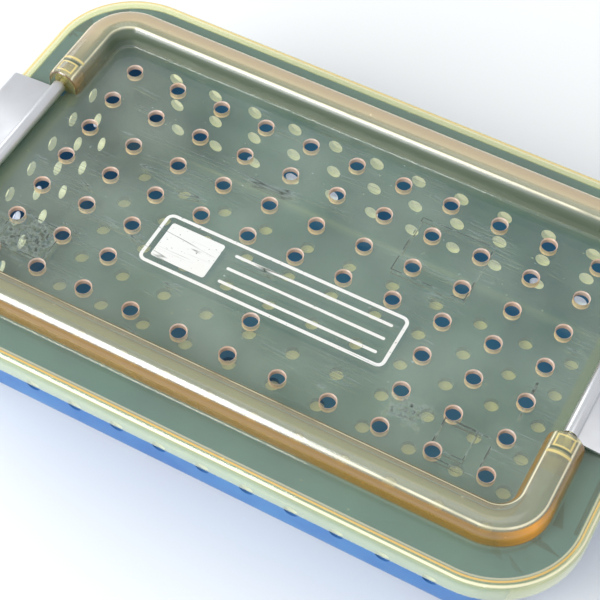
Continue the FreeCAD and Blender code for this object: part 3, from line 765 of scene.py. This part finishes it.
def make_tub(material, walls):
    """The tub with its holes, and bores in its walls made pale by painted light."""
    tub = loft("tub", tub_rings())
    cutters = [rod("cut", HOLE_RADIUS, -PLATE, 2 * PLATE, (x, y, 0), "Z")
               for x, y, _, _ in grid_places(COLUMNS, ROWS, PITCH_X, PITCH_Y)]
    cutters += [rod("cut", HOLE_RADIUS, -WALL_CUT, WALL_CUT, place, axis)
                for place, axis in wall_places()]
    combine(tub, join("cutters", cutters), "DIFFERENCE")
    smooth(tub)
    tub.data.materials.append(material)
    tub.data.materials.append(walls)
    for face in tub.data.polygons:
        x, y, z = face.center
        across = face.normal.y if by_long_wall(y) else face.normal.x
        if abs(across) < 0.5 and HEEL < z < LIP_BOTTOM and in_wall_hole(x, y, z):
            face.material_index = 1
    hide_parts("base")
    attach(tub, "base")


# Lid

def rib_stations(start, round_end):
    """Places along the front rib's line: (x, y, direction, inset), from left to right. The
    arch is smaller by its inset, which brings a rounded end down."""
    turns = [math.pi / 2 * i / END_STEPS for i in range(END_STEPS + 1)] if round_end else [0]
    half = [(-RIB_X, -start - round_end * (1 - math.cos(turn)), -90,
             round_end * (1 - math.sin(turn))) for turn in turns]
    for x, y in arc((RIB_CORNER - RIB_X, RIB_CORNER - RIB_Y), RIB_CORNER, 180, 270,
                    CORNER_STEPS):
        turn = math.atan2(y + RIB_Y - RIB_CORNER, x + RIB_X - RIB_CORNER)
        half.append((x, y, math.degrees(turn) + 90, 0.0))
    return half + [(-x, y, -angle, inset) for x, y, angle, inset in reversed(half)]


def rib_section(half_width, crown, foot, flare):
    """An arch as points (across, height), with a small flare at its foot."""
    right = [(half_width + flare, foot)]
    if flare:
        right += [(half_width + flare - flare * math.sin(turn),
                   LID_TOP + flare * (1 - math.cos(turn)))
                  for turn in map(math.radians, FLARE_TURNS)]
    left = [(-u, v) for u, v in reversed(right)]
    return right + arc((0, crown - half_width), half_width, 0, 180, RIB_STEPS) + left


def sweep_rib(name, start, half_width, crown, foot, flare=0.0, round_end=0.0, back=False):
    """Sweep the arch along the front rib's line, or the back one's."""
    rings = []
    for x, y, angle, inset in rib_stations(start, round_end):
        turn = math.radians(angle)
        across = Vector((math.sin(turn), -math.cos(turn), 0))
        section = rib_section(half_width - inset, crown - inset, foot, flare)
        ring = [Vector((x, y, 0)) + across * u + Vector((0, 0, v)) for u, v in section]
        if back:
            ring = [Vector((p.x, -p.y, p.z)) for p in ring]
        rings.append(ring)
    return loft(name, rings)


def lid_rings():
    """Rings of the plate and skirt, from the underside's middle out and back over the top."""
    under = LID_TOP - PLATE
    section = arc((-PLATE - LID_FILLET, under - LID_FILLET), LID_FILLET, 90, 0, FINE_STEPS)
    section += arc((-PLATE + SKIRT_EDGE, SKIRT_BOTTOM + SKIRT_EDGE), SKIRT_EDGE, 180, 270, 3)
    section += arc((-SKIRT_EDGE, SKIRT_BOTTOM + SKIRT_EDGE), SKIRT_EDGE, -90, 0, 3)
    section += arc((-LID_EDGE, LID_TOP - LID_EDGE), LID_EDGE, 0, 90, EDGE_STEPS)
    return rings_along(LID_OUTLINE, section)


def block_solid(name, low, high):
    """A plain block between two corners, for cutting."""
    corners = ((low[0], low[1]), (high[0], low[1]), (high[0], high[1]), (low[0], high[1]))
    return loft(name, [[(x, y, z) for x, y in corners] for z in (low[2], high[2])])


def straight_arch(name, x, low, high, half_width, crown, foot):
    """An arch run along Y between two places, for the cells, slots and blocks."""
    section = rib_section(half_width, crown, foot, 0.0)
    return loft(name, [[(x + u, y, v) for u, v in section] for y in (low, high)])


def end_arches(start, end, half_width, crown, foot):
    """Arches for cutting at the four ends of the rib, between two places along it."""
    arches = []
    for x in (-RIB_X, RIB_X):
        for side in (-1, 1):
            near, far = sorted((side * start, side * end))
            arches.append(straight_arch("cut", x, near, far, half_width, crown, foot))
    return arches


def lid_hole_places():
    """Places of the lid's holes, with none in the plain area."""
    return [(x, y) for x, y, c, r in grid_places(COLUMNS, ROWS, PITCH_X, PITCH_Y)
            if (c, r) not in PLAIN_PLACES]


def in_lid_hole(face, places):
    """Tell whether a face lies on the wall of one of the lid's holes."""
    x, y, z = face.center
    if abs(z - LID_TOP + PLATE / 2) >= 0.6 * PLATE or abs(face.normal.z) >= 0.9:
        return False
    reach = LID_HOLE_RADIUS + 2 * LID_HOLE_BEVEL
    return any(math.hypot(x - px, y - py) < reach for px, py in places)


def in_hollow(x, y, z):
    """Tell whether a point lies on the inside of the rib's arch."""
    if z <= LID_TOP - PLATE + HOLLOW_MARGIN:
        return False
    over_x = abs(x) - RIB_X + RIB_CORNER
    over_y = abs(y) - RIB_Y + RIB_CORNER
    out = math.hypot(max(over_x, 0), max(over_y, 0)) + min(max(over_x, over_y), 0) - RIB_CORNER
    return math.hypot(out, max(z - RIB_TOP + RIB_HALF, 0)) < RIB_HALF - RIB_WALL / 2


def make_lid(material, walls, inner):
    """The lid: plate and skirt with the hollow rib, the holes and the slots for the pins."""
    lid = loft("lid_moulding", lid_rings())
    under = LID_TOP - 0.5 * PLATE
    for back in (False, True):
        rib = sweep_rib("rib", RIB_END, RIB_HALF, RIB_TOP, under, RIB_FOOT, RIB_END_ROUND, back)
        combine(lid, rib, "UNION")

    below = LID_TOP - 2 * PLATE
    inner_half, inner_top = RIB_HALF - RIB_WALL, RIB_TOP - RIB_WALL
    cutters = [sweep_rib("cut", CELL_END + WEB, inner_half, inner_top, below, back=back)
               for back in (False, True)]
    cutters += end_arches(CELL_START, CELL_END, inner_half, inner_top, below)
    places = lid_hole_places()
    for x, y in places:
        cutters.append(rod("cut", LID_HOLE_RADIUS, LID_TOP - PLATE - LID_HOLE_BEVEL,
                           LID_TOP + LID_HOLE_BEVEL, (x, y, 0), "Z",
                           bevel=-2 * LID_HOLE_BEVEL))
    for side in (-1, 1):
        near, far = sorted((side * RELIEF_START, side * (LID_OUTLINE[0] + PLATE)))
        cutters.append(block_solid("cut", (near, -RIB_END, SKIRT_BOTTOM - PLATE),
                                   (far, RIB_END, LID_TOP - PLATE - RELIEF_GAP)))
    combine(lid, join("cutters", cutters), "DIFFERENCE")

    slot_half = PIN_RADIUS + PIN_CLEARANCE
    slots = end_arches(RIB_END - PLATE, CELL_START + SLOT_PAST_WALL, slot_half,
                       PIN_Z + slot_half, below)
    combine(lid, join("cutters", slots), "DIFFERENCE")
    smooth(lid)
    for part in (material, walls, inner):
        lid.data.materials.append(part)
    for face in lid.data.polygons:
        if in_lid_hole(face, places):
            face.material_index = 1
        if in_hollow(*face.center):
            face.material_index = 2
    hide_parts("lid")
    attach(lid, "lid")


# Print

def print_outline(low, high, corner):
    """A small rectangle with round corners, from its left front corner to its right back."""
    middle_x, middle_y = (low[0] + high[0]) / 2, (low[1] + high[1]) / 2
    outline = ((high[0] - low[0]) / 2, (high[1] - low[1]) / 2, corner)
    return [(x + middle_x, y + middle_y) for x, y in rounded_rectangle(outline, PRINT_STEPS)]


def print_bar(low, high, corner):
    """A solid patch of ink."""
    outline = print_outline(low, high, corner)
    return loft("bar", [[(x, y, z) for x, y in outline] for z in INK_LEVELS])


def make_print(material):
    """A plain white field to write on, printed where the lid has no holes."""
    left, right, front, back = FIELD
    outer = print_outline((left, front), (right, back), FIELD_CORNER)
    inner = print_outline((left + FIELD_LINE, front + FIELD_LINE),
                          (right - FIELD_LINE, back - FIELD_LINE), FIELD_CORNER - FIELD_LINE)
    low, high = INK_LEVELS
    rings = [[(x, y, z) for x, y in outline] for outline, z in
             ((outer, low), (outer, high), (inner, high), (inner, low))]
    shapes = [loft("frame", rings, closed=True),
              print_bar((left + PATCH_INSET, front + PATCH_INSET),
                        (left + PATCH_END, back - PATCH_INSET), PATCH_CORNER)]
    for number in range(RULES):
        y = front + RULE_FIRST + RULE_PITCH * number
        shapes.append(print_bar((left + RULE_START, y), (right - RULE_INSET, y + RULE_WIDTH),
                                RULE_CORNER))
    label = join("write_on_print", shapes)
    smooth(label)
    label.data.materials.append(material)
    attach(label, "lid")


# Latches, pins and blocks

def offset_line(points, amount):
    """Move a line of (u, v) points sideways by an amount."""
    moved = []
    for i, (u, v) in enumerate(points):
        before, after = points[max(i - 1, 0)], points[min(i + 1, len(points) - 1)]
        along = Vector((after[0] - before[0], after[1] - before[1])).normalized()
        moved.append((u - along.y * amount, v + along.x * amount))
    return moved


def latch_line():
    """The strip's centre line as (x, z): roll, plate, bend, leg, bend and hook."""
    half = STRIP / 2
    roll = PIN_RADIUS + PIN_CLEARANCE + half
    bend = LATCH_BEND + half
    leg = LATCH_OUT - half
    plate_z = LID_TOP + LATCH_REST + half
    hook_z = LATCH_LOW + half
    slope = math.degrees(math.atan2(PIN_Z - roll - plate_z, leg - RIB_X))
    line = arc((RIB_X, PIN_Z), roll, ROLL_START, 270 - slope, ROLL_STEPS)
    line += arc((leg - bend, plate_z - bend), bend, 90 - slope, 0, EDGE_STEPS)
    line += arc((leg - bend, hook_z + bend), bend, 0, -90, EDGE_STEPS)
    return line + [(HOOK_TIP, hook_z)]


def make_latch(label, side, material):
    """A steel strip rolled round its pin and bent down to a hook."""
    line = latch_line()
    outer, inner = offset_line(line, STRIP / 2), offset_line(line, -STRIP / 2)
    section = [(side * x, z) for x, z in outer + inner[::-1]]
    latch = loft(f"{label}_strip", [[(x, y, z) for x, z in section]
                                    for y in (-LATCH_HALF, LATCH_HALF)])
    soften(latch, LATCH_EDGE)
    smooth(latch, 40)
    latch.data.materials.append(material)
    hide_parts(label)
    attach(latch, label)


def make_pin(label, side, material):
    """A pin with a small chamfer at both ends."""
    pin = rod(f"{label}_rod", PIN_RADIUS, -PIN_HALF, PIN_HALF, (side * RIB_X, 0, PIN_Z), "Y",
              bevel=PIN_CHAMFER, steps=PIN_STEPS)
    smooth(pin)
    pin.data.materials.append(material)
    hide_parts(label)
    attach(pin, "lid")


def make_block(label, side, material):
    """A block of clear plastic that holds one end of a pin."""
    low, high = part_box(label)
    middle, half = (low.x + high.x) / 2, (high.x - low.x) / 2
    block = straight_arch(f"{label}_moulding", middle, low.y, high.y, half, high.z, low.z)
    bore = rod("bore", PIN_RADIUS + PIN_CLEARANCE, -PIN_HALF, PIN_HALF,
               (side * RIB_X, 0, PIN_Z), "Y")
    combine(block, bore, "DIFFERENCE")
    soften(block, BLOCK_EDGE)
    smooth(block, 40)
    block.data.materials.append(material)
    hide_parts(label)
    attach(block, "lid")


# Surroundings

def make_floor(material):
    """A plain pale floor, wide enough for every view."""
    mesh = bpy.data.meshes.new("floor")
    reach = FLOOR_REACH
    mesh.from_pydata([(-reach, -reach, 0), (reach, -reach, 0), (reach, reach, 0),
                      (-reach, reach, 0)], [], [(0, 1, 2, 3)])
    floor = new_object("floor", mesh)
    floor.data.materials.append(material)


def area_light(name, place, aim, size, power, colour):
    """A rectangular light at one place, aimed at another."""
    light = bpy.data.lights.new(name, "AREA")
    light.shape = "RECTANGLE"
    light.size, light.size_y = size
    light.energy = power
    light.color = colour
    obj = new_object(name, light)
    obj.location = place
    direction = Vector(aim) - Vector(place)
    obj.rotation_euler = direction.to_track_quat("-Z", "Y").to_euler()


def make_lights():
    """Soft daylight all round, and a strip of it from the left front."""
    world = bpy.data.worlds.new("studio")
    bpy.context.scene.world = world
    world.use_nodes = True
    background = world.node_tree.nodes["Background"]
    background.inputs["Color"].default_value = SKY
    background.inputs["Strength"].default_value = SKY_STRENGTH
    for name, place, aim, size, power, colour in LIGHTS:
        area_light(name, place, aim, size, power, colour)


def make_camera():
    """The photo's camera, as it was solved from the lid's holes."""
    camera = bpy.data.cameras.new("photo_camera")
    camera.lens = CAMERA_LENS
    camera.sensor_width = SENSOR
    camera.clip_start = CLIP_START
    obj = new_object("photo_camera", camera)
    place, aim = Vector(CAMERA_PLACE), Vector(CAMERA_AIM)
    look = (aim - place).to_track_quat("-Z", "Y")
    roll = Quaternion((0, 0, 1), math.radians(CAMERA_ROLL))
    obj.location = place
    obj.rotation_euler = (look @ roll).to_euler()
    bpy.context.scene.camera = obj


bpy.context.scene.view_settings.view_transform = "Standard"
make_camera()
make_lights()
make_floor(floor_material())
amber = lid_material()
clear_amber = lid_material("block_amber_plastic", worn=False)
make_tub(tub_material(), lit_bore_material())
make_lid(amber, cut_material(), inner_material())
make_print(ink_material())
satin = steel_material("latch_satin_steel", 0.3, (30, 3, 900))
ground = steel_material("pin_ground_steel", 0.22, (400, 20, 400))
for word, sign in (("left", -1), ("right", 1)):
    make_latch(f"latch_{word}", sign, satin)
    make_pin(f"hinge_pin_{word}", sign, ground)
    for end in ("front", "back"):
        make_block(f"pin_block_{end}_{word}", sign, clear_amber)
